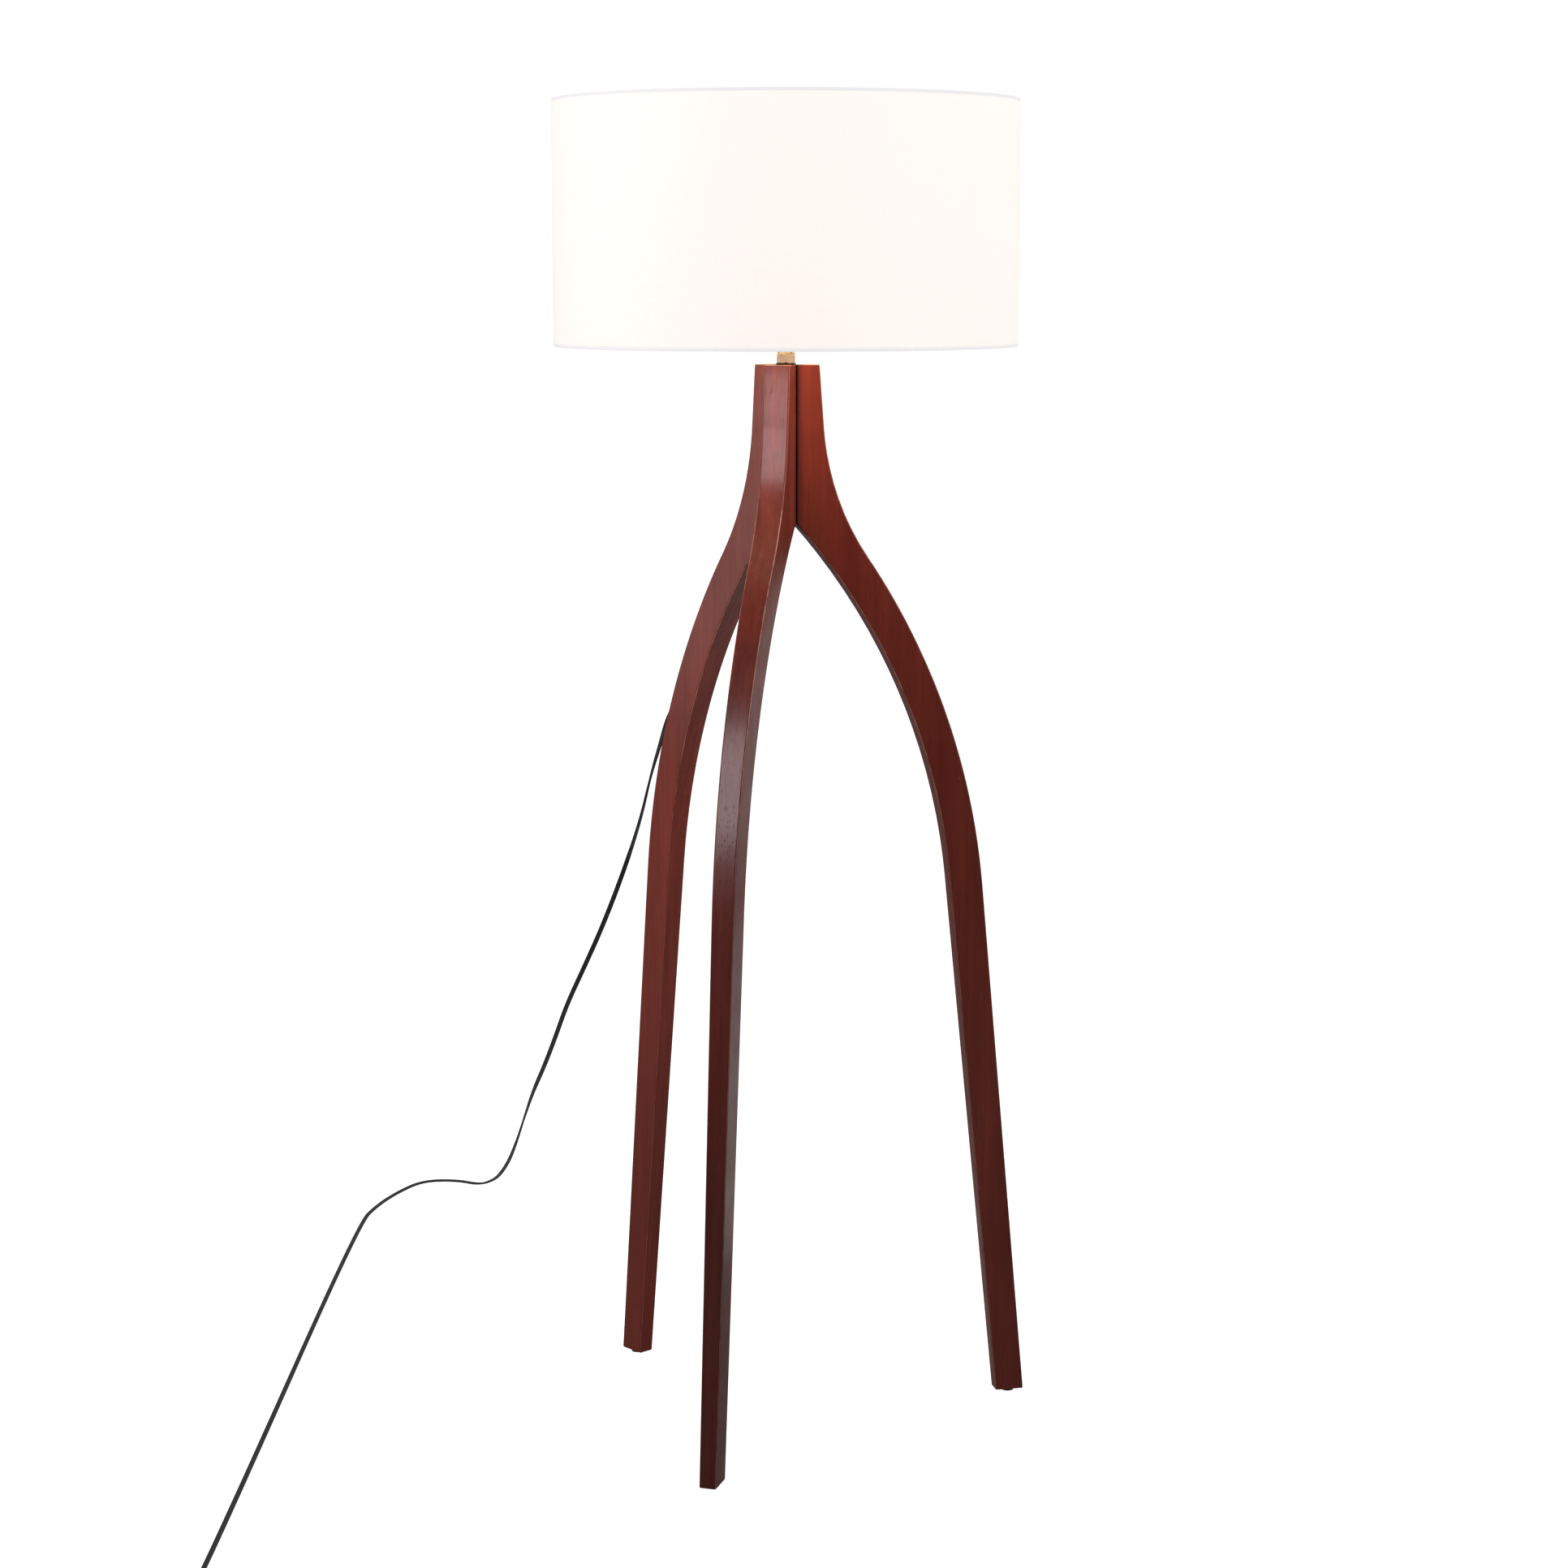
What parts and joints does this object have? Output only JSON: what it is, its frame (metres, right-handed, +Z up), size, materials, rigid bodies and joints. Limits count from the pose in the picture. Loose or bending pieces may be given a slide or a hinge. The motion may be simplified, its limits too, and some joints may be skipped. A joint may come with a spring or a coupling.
{
  "type": "tripod floor lamp",
  "caption": "Tripod floor lamp: three bent wooden legs joined in a short column, brass neck, socket with harp and bulb, white fabric drum shade, supply cord with plug.",
  "frame": {"origin": "on the floor, under the column's axis", "axes": "+Z up along the column; the front leg points along -Y and the other two to 30 and 150 degrees from +X"},
  "size_m": [0.9912, 1.4642, 1.403],
  "materials": {
    "lacquered_wood": "reddish mahogany stain under a satin-gloss lacquer, grain along each leg",
    "plain_wood": "unfinished beech",
    "glide_rubber": "matt, dark",
    "zinc_steel": "zinc plated",
    "dark_steel": "blackened spring steel",
    "brass": "polished, champagne tone",
    "card": "plain insulating card",
    "black_phenolic": "moulded, black",
    "screw_shell_metal": "rolled thread",
    "solder": "dull",
    "black_glass": "opaque black glass",
    "bulb_metal": "rolled thread",
    "frosted_glass": "frosted white",
    "shade_cloth": "fine plain weave, warm white",
    "shade_backing": "white styrene backing",
    "white_wire": "white enamelled steel wire",
    "cord_pvc": "black PVC flat twin cord",
    "black_rubber": "black",
    "plug_pvc": "black moulded PVC",
    "blade_brass": "nickel-free brass blades"
  },
  "bodies": {
    "stand": {"leg_front": "lacquered_wood", "leg_right": "lacquered_wood", "leg_left": "lacquered_wood", "column_dowels": "plain_wood", "foot_glides": "glide_rubber", "glide_nails": "zinc_steel", "threaded_tube": "zinc_steel", "lower_washer": "zinc_steel", "lower_nut": "zinc_steel", "neck_washer": "dark_steel", "hex_neck": "brass", "harp_saddle": "brass", "harp": "brass", "harp_stud": "brass", "socket_cap": "brass", "socket_shell": "brass", "socket_liner": "card", "socket_interior": "black_phenolic", "screw_shell": "screw_shell_metal", "centre_contact": "brass", "terminal_screws": "brass", "inner_lead": "cord_pvc", "cord_bushing": "black_rubber", "cord": "cord_pvc", "cord_coil": "cord_pvc", "cord_tail": "cord_pvc", "plug_body": "plug_pvc", "plug_blades": "blade_brass"},
    "shade": {"shade_fabric": "shade_cloth", "shade_liner": "shade_backing", "shade_bottom_ring": "white_wire", "shade_top_ring": "white_wire", "shade_spider": "white_wire"},
    "finial": {"finial": "brass"},
    "bulb": {"bulb_contact": "solder", "bulb_insulator": "black_glass", "bulb_base": "bulb_metal", "bulb_glass": "frosted_glass"},
    "switch": {"switch_shaft": "zinc_steel", "switch_knob": "black_phenolic"},
    "harp_sleeve_left": {"harp_sleeve_left": "brass"},
    "harp_sleeve_right": {"harp_sleeve_right": "brass"}
  },
  "joints": [
    {"name": "shade_swivel", "type": "hinge", "parent": "stand", "child": "shade", "pos_m": [0, 0, 1.362], "axis": [0, 0, 1], "continuous": true},
    {"name": "finial_turn", "type": "hinge", "parent": "stand", "child": "finial", "pos_m": [0, 0, 1.37], "axis": [0, 0, 1], "continuous": true},
    {"name": "bulb_turn", "type": "hinge", "parent": "stand", "child": "bulb", "pos_m": [0, 0, 1.2], "axis": [0, 0, 1], "continuous": true},
    {"name": "switch_turn", "type": "hinge", "parent": "stand", "child": "switch", "pos_m": [0, -0.02, 1.181], "axis": [0, -1, 0], "continuous": true},
    {"name": "sleeve_left_lift", "type": "slide", "parent": "stand", "child": "harp_sleeve_left", "axis": [0, 0, 1], "range_m": [0, 0.01]},
    {"name": "sleeve_right_lift", "type": "slide", "parent": "stand", "child": "harp_sleeve_right", "axis": [0, 0, 1], "range_m": [0, 0.01]}
  ]
}
